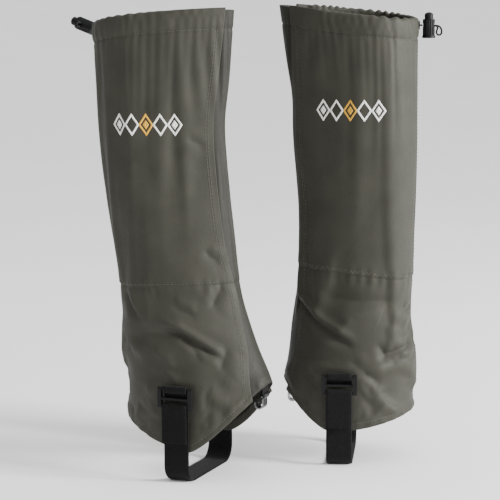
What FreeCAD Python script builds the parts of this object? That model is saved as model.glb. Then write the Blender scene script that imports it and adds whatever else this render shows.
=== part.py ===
"""A pair of knee-high gaiters, standing as a wearer's legs hold them. Millimetres, +Z up.

The origin is midway between the two gaiters, level with the undersides of the instep straps.
Each gaiter is described in its own directions: U runs to the front, V to the outer side of the leg
and Z up. The right gaiter's front faces +X and the left gaiter's front faces -X.
A fabric layer is placed by its depth: 0 is the outer face of the main panels, minus is inwards.
"""
import FreeCAD
import Part
import math
import os
from FreeCAD import Vector

# Fabric and trims
FABRIC = 1.0                # coated cloth with its lining
SEAM_GAP = 0.4              # between neighbouring panels at a seam
CASING_HEIGHT = 19.0        # drawcord tunnel at the rim
CASING_DEPTH = 4.8          # from the outer face to the inside of the tunnel's facing
LIP = 0.8                   # thickness of the tunnel's facing and lips
LIP_CLEAR = 0.5             # between the panels and the tunnel
RIM_CLEAR = 0.3             # tunnel below the top edge
CASING_FRONT = 26.0         # the tunnel stops this far behind the front line, on the inner side
BINDING_HEIGHT = 8.0        # hem binding
BINDING = 0.6               # thickness of the binding tape
BINDING_CLEAR = 0.5         # binding tape off the cloth
BINDING_FRONT = 24.0        # the binding stops this far behind the front line, on the inner side
ELASTIC_HEIGHT = 20.0       # ankle elastic
ELASTIC = 1.2
ELASTIC_CLEAR = 0.7         # elastic off the panels' inner face
ELASTIC_START = 92.0        # degrees round from the front, on both sides
TAPE_WIDTH = 12.5           # hook tape and loop tape
TAPE_MARGIN = 1.5           # tape behind the flap's free edge
TAPE_END = 6.0              # tape short of the hem and of the rim
LOOP_TAPE_DEPTH = 0.4
LOOP_TAPE = 0.5
HOOK_TAPE_DEPTH = -0.6
HOOK_TAPE = 0.6
FLAP_PROUD = 1.9            # outer face of the front flap above the panels
UNDERLAP_DEPTH = -2.1       # outer face of the layer under the flap
UNDERLAP_INSET = 1.5        # underlap short of the hem and of the rim
UNDERLAP_INNER = 22.0       # its inner edge, behind the front line
INNER_FRONT = 16.0          # front edge of the inner panels, behind the front line
EMBLEM_LENGTH = 66.0
EMBLEM_HEIGHT = 24.0
EMBLEM_DEPTH = 0.7
EMBLEM = 0.6

# Instep strap and its ladder buckle
WEBBING_WIDTH = 25.0
WEBBING = 1.6
STRAP_CLEAR = 1.5           # inner face of the webbing off the widest part of the panels
STRAP_HINGE_Z = 36.0        # height at which the loop under the boot can swing
STRAP_CORNER = 16.0         # radius of the loop's lower corners
STRAP_SPLIT = 0.4           # gap between the sewn ends and the swinging loop
ANCHOR_TOP_Z = 80.0         # top of the strap's sewn inner end
BUCKLE_WIDTH = 34.0
BUCKLE_HEIGHT = 20.0
BUCKLE_THICK = 3.8          # of the two side rails
BUCKLE_TOP_BAR = 3.0        # diameter of the bar inside the tab
BUCKLE_TOP_Z = 91.0
BUCKLE_BAR = 3.2            # diameter of the middle and bottom bars
BUCKLE_RAIL = 3.6
TURN_R = 1.9                # inside radius of the webbing where it turns round a bar
LEG_END_Z = 66.5            # lower end of the webbing's piece that moves with the buckle
RUN_TOP_Z = 65.8            # upper end of the webbing's piece that stays with the gaiter
TAIL_LENGTH = 34.0          # free end of the strap below the bottom bar
TAB_LEG = 8.0               # sewn part of the buckle's tab

# Drawcord and cord lock
CORD = 1.8
PITCH = 2.3                 # between the drawcord's two strands
CORD_DEPTH = -2.7           # of the cord in its tunnel
CORD_TURN_IN = 172.0        # degrees round from the front where the cord turns to the eyelet
TUNNEL_POINTS = 15
EYELET_BORE = 6.0
EYELET_BODY = 7.4
EYELET_FLANGE = 9.4
EYELET_THICK = 0.6
EYELET_REACH = 1.2          # the eyelet's body each side of the cloth's outer face
BARREL_R = 5.8
BARREL_TOP = 5.8            # above the cord's centre line
BARREL_LENGTH = 18.0
BARREL_FOOT = 2.2           # height of the wider foot
FOOT_PROUD = 0.5            # foot's radius over the barrel's
BORE_R = 4.4
PLUNGER_R = 4.1
PLUNGER_OUT = 6.6           # of the plunger shows above the barrel
PLUNGER_FOOT = -5.6         # its lower end, from the cord's centre line
PLUNGER_TRAVEL = 3.0
CORD_HOLE = (5.1, 2.6)      # width and height
BARREL_FLOOR = 1.6
SPRING_WIRE = 0.5
SPRING_TURNS = 2.75
SPRING_FIT = 0.5            # between the spring and the bore
SPRING_END = 0.05           # gap at each of the spring's ends
PLUNGER_SHOULDER = 2.4      # height of the plunger's domed end
PLUNGER_DOME = 1.25         # the dome's radius as a share of the plunger's
STRAND_GAP = 0.4            # between the strands' ends and the barrel

# Lace hook
HOOK_WIDTH = 10.0
HOOK_THICK = 1.4
HOOK_R = 3.2                # inside radius, for a boot lace
HOOK_DROP = 8.0             # from the pivot to the centre of the hook
HOOK_BACK = 8.6             # pivot behind the front tip
HOOK_BELOW_TIP = 11.0       # pivot below the tip of the hem
HOOK_LIP = 2.0              # height of the hook's free end above its centre
HOOK_WALL = 1.1             # round the pin
PIN_D = 2.0
PIN_FIT = 0.25
EAR = 1.9                   # thickness and radius of the tab's two ears
EAR_GAP = 0.5               # between the hook and each ear
TAB_HALF = 0.8              # half the thickness of the hook's tab
TAB_REACH = 6.0             # the tab's sewn end above the tip of the hem
TAB_BOTTOM = 3.2            # the tab's plate above the pivot

# Outlines, in the gaiter's own directions: (height, distance along U) or (height, size).
RIGHT = {
    "name": "right",
    "facing": 1,
    "yaw": 22.0,
    "centre": (-76.5, -30.0),
    "front": [(20, 102), (60, 94), (92, 85), (121, 72.5), (150, 62), (179, 53), (236, 45),
              (292, 37), (335, 34.5), (377, 38.5), (440, 43)],
    "back": [(20, -60), (92, -62), (121, -64.5), (150, -62.5), (179, -65), (236, -75.5),
             (292, -84), (335, -90.5), (377, -94), (440, -98)],
    "half_width": [(20, 50), (90, 48), (140, 43), (180, 41), (290, 41), (440, 43)],
    "lean": [(20, 0), (180, -2), (440, -12)],
    "flap_edge": [(20, 86), (92, 72), (126, 65), (193, 47), (236, 38), (292, 30), (335, 27),
                  (377, 31.5), (440, 37)],
    "flap_hinge": [(40, 40), (440, -2)],
    "rim": (434.5, 0.116, 0.10),
    "ankle": (182.0, 0.045),
    "hem": [(-62, 55), (-4, 35), (27, 32), (85, 88), (110, 112)],
    "strap_u": 10.0,
    "emblem_u": -28.0,
    "emblem_drop": 103.0,
    "exit_drop": 4.6,
    "lock_at": (18.4, 0.0, 5.8),
    "lock_hole": (0.0, 1.0, 0.0),
    "lock_plunge": (0.94, 0.0, 0.342),
    "lead": [((2.8, 0, 0), (1, 1, 0)), ((4.6, -8.6, 0), (1, 1, 0)),
             ((14.4, -12.4, 4.2), (0, 0.5, -0.9)), ((19.0, -11.6, 5.7), (0.3, 0, -0.95))],
    "tail": [(6.3, 1.15, 0), (8.9, 2.9, 0), (12.0, 2.0, 0), (12.0, -2.0, 0), (8.9, -2.9, 0),
             (6.3, -1.15, 0)],
}
LEFT = {
    "name": "left",
    "facing": -1,
    "yaw": -6.0,
    "centre": (76.5, 30.0),
    "front": [(20, 71), (80, 65), (110, 61), (140, 57), (184, 51.5), (243, 50), (302, 54),
              (360, 56), (390, 61), (440, 68)],
    "back": [(20, -70), (80, -68), (110, -66), (140, -61.5), (184, -63), (243, -64.5),
             (302, -65.5), (360, -66), (440, -67.5)],
    "half_width": [(20, 50), (90, 47), (140, 43), (184, 41), (290, 41), (440, 43)],
    "lean": [(20, 0), (180, 1), (440, 6)],
    "flap_edge": [(20, 58), (80, 55), (140, 48), (184, 43.5), (243, 42.5), (302, 46.5),
                  (360, 48), (390, 51), (440, 54)],
    "flap_hinge": [(40, 32), (440, 29)],
    "rim": (436.5, 0.105, -0.056),
    "ankle": (186.0, 0.10),
    "hem": [(-70, 50), (-12, 36), (20, 36), (66, 77), (90, 98)],
    "strap_u": 4.0,
    "emblem_u": -5.0,
    "emblem_drop": 91.0,
    "exit_drop": 6.6,
    "lock_at": (9.6, 0.0, 0.0),
    "lock_hole": (1.0, 0.0, 0.0),
    "lock_plunge": (0.0, 0.0, 1.0),
    "lead": [],
    "tail": [(7.4, 1.15, 0), (8.7, 1.15, -2.5), (7.4, 1.0, -5.2), (7.5, 0.6, -8.2),
             (9.8, 0, -9.7), (12.1, -0.6, -8.2), (12.4, -1.0, -5.2), (11.3, -1.15, -2.2),
             (8.4, -1.15, 0)],
}
TAPER = [(20, 0.12), (90, 0.15), (180, 0.32), (250, 0.42), (440, 0.45)]
Z = Vector(0, 0, 1)


def smooth(table, z):
    """Value at z of a curve through the table's points, straight beyond its ends."""
    n = len(table)
    slopes = []
    for i in range(n):
        lo, hi = table[max(i - 1, 0)], table[min(i + 1, n - 1)]
        slopes.append((hi[1] - lo[1]) / (hi[0] - lo[0]))
    if z <= table[0][0]:
        return table[0][1] + slopes[0] * (z - table[0][0])
    if z >= table[-1][0]:
        return table[-1][1] + slopes[-1] * (z - table[-1][0])
    i = max(k for k in range(n - 1) if table[k][0] <= z)
    (z0, y0), (z1, y1) = table[i], table[i + 1]
    h = z1 - z0
    s = (z - z0) / h
    return ((2 * s ** 3 - 3 * s ** 2 + 1) * y0 + (s ** 3 - 2 * s ** 2 + s) * h * slopes[i]
            + (3 * s ** 2 - 2 * s ** 3) * y1 + (s ** 3 - s ** 2) * h * slopes[i + 1])


def directions(g):
    """The gaiter's U and V directions."""
    yaw = math.radians(g["yaw"])
    return (Vector(g["facing"] * math.cos(yaw), -math.sin(yaw), 0),
            Vector(-g["facing"] * math.sin(yaw), -math.cos(yaw), 0))


def at(g, u, v, z):
    """A point from the gaiter's own directions."""
    u_way, v_way = directions(g)
    return Vector(g["centre"][0], g["centre"][1], 0) + u_way * u + v_way * v + Z * z


def section(g, z):
    """Half length, middle, half width, lean and taper of the gaiter's cross-section at height z."""
    front, back = smooth(g["front"], z), smooth(g["back"], z)
    return ((front - back) / 2, (front + back) / 2, smooth(g["half_width"], z),
            smooth(g["lean"], z), smooth(TAPER, z))


def turn_at(g, u, z, side=1):
    """The angle round the leg where the skin is at distance u: side 1 is outer, -1 inner."""
    a, middle, _, _, _ = section(g, z)
    t = math.acos(max(-1.0, min(1.0, (u - middle) / a)))
    return t if side > 0 else 2 * math.pi - t


def skin_uv(g, t, z, depth=0.0):
    """U and V of the skin at angle t and height z: 0 is the front, 90 degrees the outer side."""
    a, middle, b, lean, k = section(g, z)
    u, v = middle + a * math.cos(t), lean + b * math.sin(t) * (1 - k * math.cos(t))
    nu, nv = b * (math.cos(t) - k * math.cos(2 * t)), a * math.sin(t)
    size = math.hypot(nu, nv)
    return u + depth * nu / size, v + depth * nv / size


def skin(g, t, z, depth=0.0):
    u, v = skin_uv(g, t, z, depth)
    return at(g, u, v, z)


def rim_z(g, t):
    """Height of the top edge."""
    base, slope_u, slope_v = g["rim"]
    u, v = skin_uv(g, t, base)
    return base + slope_u * u + slope_v * v


def ankle_z(g, t):
    """Height of the seam between the upper and the lower panels."""
    base, slope_u = g["ankle"]
    return base + slope_u * skin_uv(g, t, base)[0]


def hem_z(g, t):
    """Height of the bottom edge: it rises from the strap to the heel and to the front tip."""
    z = 50.0
    for _ in range(12):
        z = 0.5 * z + 0.5 * smooth(g["hem"], skin_uv(g, t, z)[0])
    return z


def line(a, b):
    return Part.LineSegment(a, b).toShape()


def sheet(g, place, columns, rows, outer, thick):
    """A layer of cloth. place(i, j) gives the angle and height at column i and row j."""
    spots = [[place(i, j) for j in rows] for i in columns]
    faces, borders = [], []
    for depth in (outer, outer - thick):
        surface = Part.BSplineSurface()
        surface.interpolate([[skin(g, t, z, depth) for t, z in row] for row in spots])
        u0, u1, v0, v1 = surface.bounds()
        faces.append(surface.toShape())
        borders.append([surface.uIso(u0), surface.uIso(u1), surface.vIso(v0), surface.vIso(v1)])
    for front, back in zip(*borders):
        faces.append(Part.makeRuledSurface(front.toShape(), back.toShape()))
    sewn = Part.makeCompound(faces)
    sewn.sewShape()
    solid = Part.makeSolid(Part.makeShell(sewn.Faces))
    if solid.Volume < 0:
        solid.reverse()
    return solid


def edge_tape(g, angles, height, profile):
    """A tape along the skin. profile holds (depth, height above height(t)) corners."""
    sections = []
    for t in angles:
        z = height(t)
        base = skin(g, t, z)
        outward = skin(g, t, z, 1.0) - base
        upward = (skin(g, t, z + 5) - skin(g, t, z - 5)) * 0.1
        ring = [base + outward * depth + upward * rise for depth, rise in profile]
        sections.append(Part.makePolygon(ring + [ring[0]]))
    return Part.makeLoft(sections, True, False)


def spread(start, end, count):
    return [start + (end - start) * i / (count - 1) for i in range(count)]


def patch(g, first, last, low, high, outer, thick, columns=13, rows=21):
    """Cloth between angles first(z) and last(z) and between heights low(t) and high(t)."""
    def place(i, j):
        z = 200.0
        for _ in range(5):
            t = first(z) + (last(z) - first(z)) * i
            z = low(t) + (high(t) - low(t)) * j
        return t, z
    return sheet(g, place, spread(0, 1, columns), spread(0, 1, rows), outer, thick)


def tube(points, diameter):
    """A round cord along points, its corners rounded by arcs."""
    runs = [(q - p).Length for p, q in zip(points, points[1:])]
    edges, start, radii = [], points[0], []
    for k in range(1, len(points) - 1):
        before = (points[k] - points[k - 1]).normalize()
        after = (points[k + 1] - points[k]).normalize()
        half = before.getAngle(after) / 2
        cut = 0.45 * min(runs[k - 1], runs[k])
        radius = cut / math.tan(half)
        radii.append(radius)
        p0, p1 = points[k] - before * cut, points[k] + after * cut
        centre = points[k] + (after - before).normalize() * (radius / math.cos(half))
        middle = centre + (points[k] - centre).normalize() * radius
        edges += [Part.LineSegment(start, p0).toShape(), Part.Arc(p0, middle, p1).toShape()]
        start = p1
    edges.append(Part.LineSegment(start, points[-1]).toShape())
    path = Part.Wire(edges)
    ring = Part.Wire(Part.Circle(points[0], points[1] - points[0], diameter / 2).toShape())
    solid = path.makePipeShell([ring], True, False)
    length = sum(e.Length for e in edges)
    share = solid.Volume / (math.pi * diameter ** 2 / 4 * length)
    print("tube: length %.1f, least radius %.2f, volume against section times length %.4f"
          % (length, min(radii), share))
    return solid


# ---- the cloth ---------------------------------------------------------------------------

def flap_rear(g):
    return lambda z: turn_at(g, smooth(g["flap_hinge"], z), z)


def flap_free(g):
    return lambda z: turn_at(g, smooth(g["flap_edge"], z), z)


def arc_shift(g, t, z, distance):
    """The angle that lies distance further round the skin towards the back."""
    step = math.radians(0.5)
    count = 8
    for _ in range(count):
        u0, v0 = skin_uv(g, t - step, z)
        u1, v1 = skin_uv(g, t + step, z)
        t += 2 * step * (distance / count) / math.hypot(u1 - u0, v1 - v0)
    return t


def panels(g):
    inner_front = lambda z: turn_at(g, smooth(g["front"], z) - INNER_FRONT, z, -1)
    rear = flap_rear(g)
    hem, ankle, rim = (lambda t: hem_z(g, t)), (lambda t: ankle_z(g, t)), (lambda t: rim_z(g, t))
    outer_first = lambda z: arc_shift(g, rear(z), z, 1.5 * SEAM_GAP)
    outer_last = lambda z: arc_shift(g, math.pi, z, -SEAM_GAP / 2)
    inner_first = lambda z: arc_shift(g, math.pi, z, SEAM_GAP / 2)
    below = lambda t: ankle(t) - SEAM_GAP
    found = {
        "outer_upper_panel": patch(g, outer_first, outer_last, ankle, rim, 0.0, FABRIC),
        "inner_upper_panel": patch(g, inner_first, inner_front, ankle, rim, 0.0, FABRIC),
        "outer_lower_panel": patch(g, outer_first, outer_last, hem, below, 0.0, FABRIC),
        "inner_lower_panel": patch(g, inner_first, inner_front, hem, below, 0.0, FABRIC),
    }
    through = 20
    bore = rod(eyelet_centre(g) - away(g) * through / 2, away(g), EYELET_BODY / 2 + 0.2, through)
    for name in ("outer_upper_panel", "inner_upper_panel"):
        found[name] = found[name].cut(bore)
    return found


def closure(g):
    """Front flap with its loop tape, and the underlap with its hook tape."""
    free = flap_free(g)
    rear = flap_rear(g)
    hem, rim = (lambda t: hem_z(g, t)), (lambda t: rim_z(g, t))
    lap_low = lambda t: hem(t) + UNDERLAP_INSET
    lap_high = lambda t: rim(t) - UNDERLAP_INSET
    tape_rear = lambda z: arc_shift(g, free(z), z, TAPE_MARGIN + TAPE_WIDTH)
    tape_front = lambda z: arc_shift(g, free(z), z, TAPE_MARGIN)
    lap_inner = lambda z: -math.acos(1 - UNDERLAP_INNER / section(g, z)[0])
    lap_outer = lambda z: arc_shift(g, free(z), z, TAPE_MARGIN + TAPE_WIDTH + 1.0)
    tape_low = lambda t: hem(t) + TAPE_END
    tape_high = lambda t: rim(t) - TAPE_END
    return {
        "front_flap": patch(g, free, rear, hem, rim, FLAP_PROUD, FABRIC),
        "flap_loop_tape": patch(g, tape_front, tape_rear, tape_low, tape_high,
                                LOOP_TAPE_DEPTH, LOOP_TAPE),
        "front_underlap": patch(g, lap_inner, lap_outer, lap_low, lap_high, UNDERLAP_DEPTH,
                                FABRIC, columns=17, rows=27),
        "underlap_hook_tape": patch(g, tape_front, tape_rear, tape_low, tape_high,
                                    HOOK_TAPE_DEPTH, HOOK_TAPE),
    }


def casing_ends(g):
    """Angles at which the drawcord tunnel starts and ends."""
    level = 425
    start = flap_rear(g)(level) + math.radians(5)
    return start, turn_at(g, smooth(g["front"], level) - CASING_FRONT, level, -1)


def trims(g):
    """Drawcord tunnel, ankle elastic, hem binding and emblem."""
    angles = spread(*casing_ends(g), 25)
    web, lip_out = -CASING_DEPTH, -FABRIC - LIP_CLEAR
    low, high = -CASING_HEIGHT, -RIM_CLEAR
    tunnel = [(web, low), (lip_out, low), (lip_out, low + LIP), (web + LIP, low + LIP),
              (web + LIP, high - LIP), (lip_out, high - LIP), (lip_out, high), (web, high)]
    casing = edge_tape(g, angles, lambda t: rim_z(g, t), tunnel)
    half = ELASTIC_HEIGHT / 2
    inside = -FABRIC - ELASTIC_CLEAR
    band = [(inside, -half), (inside, half), (inside - ELASTIC, half), (inside - ELASTIC, -half)]
    first = math.radians(ELASTIC_START)
    elastic = edge_tape(g, spread(first, 2 * math.pi - first, 19), lambda t: ankle_z(g, t), band)
    clear = BINDING_CLEAR
    back = -FABRIC - clear
    fold = [(clear + BINDING, BINDING_HEIGHT), (clear, BINDING_HEIGHT), (clear, -clear),
            (back, -clear), (back, BINDING_HEIGHT), (back - BINDING, BINDING_HEIGHT),
            (back - BINDING, -clear - BINDING), (clear + BINDING, -clear - BINDING)]
    low_start = max(flap_rear(g)(z) for z in (40, 60, 90)) + math.radians(2)
    low_end = min(turn_at(g, smooth(g["front"], z) - BINDING_FRONT, z, -1) for z in (60, 90))
    binding = edge_tape(g, spread(low_start, low_end, 41), lambda t: hem_z(g, t), fold)
    middle = turn_at(g, g["emblem_u"], 335)
    span = EMBLEM_LENGTH / 2
    level = rim_z(g, middle) - g["emblem_drop"]
    ends = [arc_shift(g, middle, level, s * span) for s in (-1, 1)]
    emblem = sheet(g, lambda i, j: (i, j), spread(ends[0], ends[1], 7),
                   spread(level - EMBLEM_HEIGHT / 2, level + EMBLEM_HEIGHT / 2, 4),
                   EMBLEM_DEPTH, EMBLEM)
    return {"drawcord_casing": casing, "ankle_elastic": elastic,
            "hem_binding": binding, "emblem": emblem}


# ---- drawcord, eyelet and cord lock --------------------------------------------------------

def away(g):
    """Outward direction at the back of the rim, level."""
    return directions(g)[0] * -1


def eyelet_centre(g):
    return skin(g, math.pi, rim_z(g, math.pi) - g["exit_drop"])


def rod(start, direction, radius, length):
    return Part.makeCylinder(radius, length, start, direction)


def outline(points):
    """A closed flat face. A pair of points in the list is an arc's middle and end."""
    edges, at_point = [], points[0]
    for item in points[1:] + [points[0]]:
        if isinstance(item, tuple):
            edges.append(Part.Arc(at_point, item[0], item[1]).toShape())
            at_point = item[1]
        elif (item - at_point).Length > 1e-6:
            edges.append(line(at_point, item))
            at_point = item
    return Part.Face(Part.Wire(edges))


def prism_along_u(g, u0, u1, points):
    """A solid from an outline in (v, z), reaching from u0 to u1."""
    put = lambda p: at(g, u0, p[0], p[1])
    face = outline([tuple(put(q) for q in p) if isinstance(p[0], tuple) else put(p)
                    for p in points])
    return face.extrude(directions(g)[0] * (u1 - u0))


def prism_along_v(g, v0, v1, points):
    """A solid from an outline in (u, z), reaching from v0 to v1."""
    put = lambda p: at(g, p[0], v0, p[1])
    face = outline([tuple(put(q) for q in p) if isinstance(p[0], tuple) else put(p)
                    for p in points])
    return face.extrude(directions(g)[1] * (v1 - v0))


def box_uv(g, u0, u1, v0, v1, z0, z1):
    return prism_along_u(g, u0, u1, [(v0, z0), (v1, z0), (v1, z1), (v0, z1)])


def lock_frame(g):
    """Centre of the cord lock's cord hole, the hole's direction, the plunger's and the third."""
    basis = (away(g), directions(g)[1], Z)

    def vector(parts):
        total = Vector(0, 0, 0)
        for amount, axis in zip(parts, basis):
            total = total + axis * amount
        return total

    hole, plunge = vector(g["lock_hole"]), vector(g["lock_plunge"])
    plunge.normalize()
    return eyelet_centre(g) + vector(g["lock_at"]), hole, plunge, hole.cross(plunge)


def cord_route(g, side):
    """Points of one of the drawcord's two strands: through the tunnel, the eyelet and to the lock."""
    ends = casing_ends(g)
    end = ends[0] if side > 0 else 2 * math.pi - ends[1]
    route = []
    for t in spread(end, math.radians(CORD_TURN_IN), TUNNEL_POINTS):
        t = t if side > 0 else 2 * math.pi - t
        route.append(skin(g, t, rim_z(g, t) - g["exit_drop"], CORD_DEPTH))
    out, outer = away(g), directions(g)[1]
    middle = eyelet_centre(g)
    offset = side * PITCH / 2
    route.append(middle + out * CORD_DEPTH + outer * offset)
    for (a, b, c), (da, db, dc) in g["lead"]:
        route.append(middle + out * (a + da * offset) + outer * (b + db * offset)
                     + Z * (c + dc * offset))
    centre, hole, plunge, third = lock_frame(g)
    route.append(centre - hole * (BARREL_R + STRAND_GAP) + third * offset)
    return route


def tail_route(g):
    """Points of the drawcord's end that passes through the lock and makes a small loop."""
    centre, hole, plunge, third = lock_frame(g)
    put = lambda h, s, w: centre + hole * h + third * s + plunge * w
    turn = [put(h, s, w) for h, s, w in g["tail"]]
    return [put(-BARREL_R, PITCH / 2, 0)] + turn + [put(-BARREL_R, -PITCH / 2, 0)]


def cords(g):
    centre = eyelet_centre(g)
    out = away(g)
    inner_end = centre - out * EYELET_REACH
    flange = centre + out * (EYELET_REACH - EYELET_THICK)
    eyelet = rod(inner_end, out, EYELET_BODY / 2, 2 * EYELET_REACH)
    eyelet = eyelet.fuse(rod(flange, out, EYELET_FLANGE / 2, EYELET_THICK))
    eyelet = eyelet.cut(rod(inner_end - out, out, EYELET_BORE / 2, 6)).removeSplitter()
    return {"drawcord_outer_run": tube(cord_route(g, 1), CORD),
            "drawcord_inner_run": tube(cord_route(g, -1), CORD),
            "drawcord_tail": tube(tail_route(g), CORD), "drawcord_eyelet": eyelet}


def cord_lock(g):
    """Spring cord lock: barrel, plunger and the spring under it."""
    centre, hole, plunge, third = lock_frame(g)
    bottom = centre + plunge * (BARREL_TOP - BARREL_LENGTH)
    barrel = rod(bottom, plunge, BARREL_R, BARREL_LENGTH)
    barrel = barrel.fuse(rod(bottom, plunge, BARREL_R + FOOT_PROUD, BARREL_FOOT)).removeSplitter()
    barrel = barrel.cut(rod(bottom + plunge * BARREL_FLOOR, plunge, BORE_R, BARREL_LENGTH))

    def slot(low, high):
        """A cut right through along the cord hole, between two heights on the plunger's axis."""
        corner = centre - hole * 20 - third * (CORD_HOLE[0] / 2) + plunge * low
        points = [corner, corner + third * CORD_HOLE[0],
                  corner + third * CORD_HOLE[0] + plunge * (high - low),
                  corner + plunge * (high - low), corner]
        return Part.Face(Part.makePolygon(points)).extrude(hole * 40)

    half = CORD_HOLE[1] / 2
    barrel = barrel.cut(slot(-half, half))
    top = BARREL_TOP + PLUNGER_OUT
    dome = PLUNGER_R * PLUNGER_DOME
    straight = top - PLUNGER_SHOULDER - PLUNGER_FOOT
    plunger = rod(centre + plunge * PLUNGER_FOOT, plunge, PLUNGER_R, top - PLUNGER_FOOT)
    ball = Part.makeSphere(dome, centre + plunge * (top - dome))
    stem = rod(centre + plunge * PLUNGER_FOOT, plunge, PLUNGER_R + 1, straight)
    plunger = plunger.common(ball.fuse(stem)).cut(slot(-half, half + PLUNGER_TRAVEL))
    floor = BARREL_TOP - BARREL_LENGTH + BARREL_FLOOR
    room = PLUNGER_FOOT - floor - SPRING_WIRE - 2 * SPRING_END
    coil_r = BORE_R - SPRING_WIRE / 2 - SPRING_FIT
    helix = Part.makeHelix(room / SPRING_TURNS, room, coil_r)
    wire = Part.Wire(Part.Circle(Vector(coil_r, 0, 0), Vector(0, 1, 0), SPRING_WIRE / 2).toShape())
    spring = Part.Wire(helix).makePipeShell([wire], True, True)
    spring.Placement = FreeCAD.Placement(centre + plunge * (floor + SPRING_WIRE / 2 + SPRING_END),
                                         FreeCAD.Rotation(Z, plunge))
    return {"lock_barrel": barrel, "lock_plunger": plunger, "lock_spring": spring}


# ---- instep strap and buckle ---------------------------------------------------------------

def strap_planes(g):
    """V of the webbing's inner face on the outer and on the inner side of the leg."""
    found = []
    for side in (1, -1):
        widest = 0
        for z in spread(40, 92, 6):
            for u in spread(g["strap_u"] - BUCKLE_WIDTH / 2, g["strap_u"] + BUCKLE_WIDTH / 2, 5):
                widest = max(widest, side * skin_uv(g, turn_at(g, u, z, side), z)[1])
        found.append(side * (widest + STRAP_CLEAR))
    return found


def buckle_pivot_z():
    """Height of the buckle's top bar, which turns in the tab."""
    return BUCKLE_TOP_Z - BUCKLE_THICK / 2 - 0.2


def straps(g):
    """The webbing in four pieces, the ladder buckle and the buckle's tab."""
    face, inner = strap_planes(g)
    mid = g["strap_u"]
    u0, u1 = mid - WEBBING_WIDTH / 2, mid + WEBBING_WIDTH / 2
    across_v = directions(g)[1]
    outer_face, inner_face = face + WEBBING, inner - WEBBING
    r = STRAP_CORNER
    low = 1 - math.sqrt(0.5)
    hinge = STRAP_HINGE_Z
    small = r - WEBBING
    loop = prism_along_u(g, u0, u1, [
        (outer_face, hinge), (outer_face, r), ((outer_face - r * low, r * low), (outer_face - r, 0)),
        (inner_face + r, 0), ((inner_face + r * low, r * low), (inner_face, r)),
        (inner_face, hinge), (inner, hinge), (inner, r),
        ((inner + small * low, WEBBING + small * low), (inner + small, WEBBING)),
        (face - small, WEBBING), ((face - small * low, WEBBING + small * low), (face, r)),
        (face, hinge)])
    gap = []
    for start in (face, inner_face):
        disc = rod(at(g, mid, start, hinge), across_v, WEBBING_WIDTH / 2, WEBBING)
        loop = loop.fuse(disc)
        gap.append(rod(at(g, mid, start - 1, hinge), across_v, WEBBING_WIDTH / 2 + STRAP_SPLIT,
                       WEBBING + 2))
    run = box_uv(g, u0, u1, face, outer_face, hinge, RUN_TOP_Z).cut(gap[0])
    anchor = box_uv(g, u0, u1, inner_face, inner, hinge, ANCHOR_TOP_Z).cut(gap[1])
    # the buckle: its bars' centres all lie in one plane
    plane = outer_face + TURN_R
    half = BUCKLE_THICK / 2
    bottom = BUCKLE_TOP_Z - BUCKLE_HEIGHT
    top_bar = buckle_pivot_z()
    low_bar = bottom + half
    mid_bar = low_bar + TURN_R + WEBBING + 0.5 + BUCKLE_BAR
    side = BUCKLE_WIDTH / 2
    buckle = None
    for sign in (-1, 1):
        rail = prism_along_u(g, mid + sign * side, mid + sign * (side - BUCKLE_RAIL), [
            (plane - half, bottom + half), ((plane, bottom), (plane + half, bottom + half)),
            (plane + half, BUCKLE_TOP_Z - half),
            ((plane, BUCKLE_TOP_Z), (plane - half, BUCKLE_TOP_Z - half))])
        buckle = rail if buckle is None else buckle.fuse(rail)
    for height, bar in ((top_bar, BUCKLE_TOP_BAR), (mid_bar, BUCKLE_BAR), (low_bar, BUCKLE_BAR)):
        buckle = buckle.fuse(rod(at(g, mid - side + 1, plane, height), directions(g)[0], bar / 2,
                                 BUCKLE_WIDTH - 2))
    big = TURN_R + WEBBING
    turn = prism_along_u(g, u0, u1, [
        (plane - big, LEG_END_Z), (plane - big, low_bar),
        ((plane, low_bar + big), (plane + big, low_bar)), (plane + big, low_bar - TAIL_LENGTH),
        (plane + TURN_R, low_bar - TAIL_LENGTH), (plane + TURN_R, low_bar),
        ((plane, low_bar + TURN_R), (plane - TURN_R, low_bar)), (plane - TURN_R, LEG_END_Z)])
    tab = rod(at(g, u0 + 0.5, plane, top_bar), directions(g)[0], big, WEBBING_WIDTH - 1)
    tab = tab.fuse(box_uv(g, u0 + 0.5, u1 - 0.5, plane - big, plane - TURN_R, top_bar - TAB_LEG,
                          top_bar))
    tab = tab.cut(rod(at(g, u0 - 1, plane, top_bar), directions(g)[0], TURN_R, WEBBING_WIDTH + 2))
    return {"instep_strap": loop.removeSplitter(), "strap_outer_run": run,
            "strap_inner_end": anchor, "strap_buckle": buckle.removeSplitter(),
            "strap_tail": turn, "buckle_tab": tab.removeSplitter()}


# ---- lace hook -----------------------------------------------------------------------------

def front_tip(g):
    """U and Z of the hem's front tip."""
    z = hem_z(g, 0.0)
    return smooth(g["front"], z), z


def hook_pivot(g):
    u, z = front_tip(g)
    return u - HOOK_BACK, z - HOOK_BELOW_TIP


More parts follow.
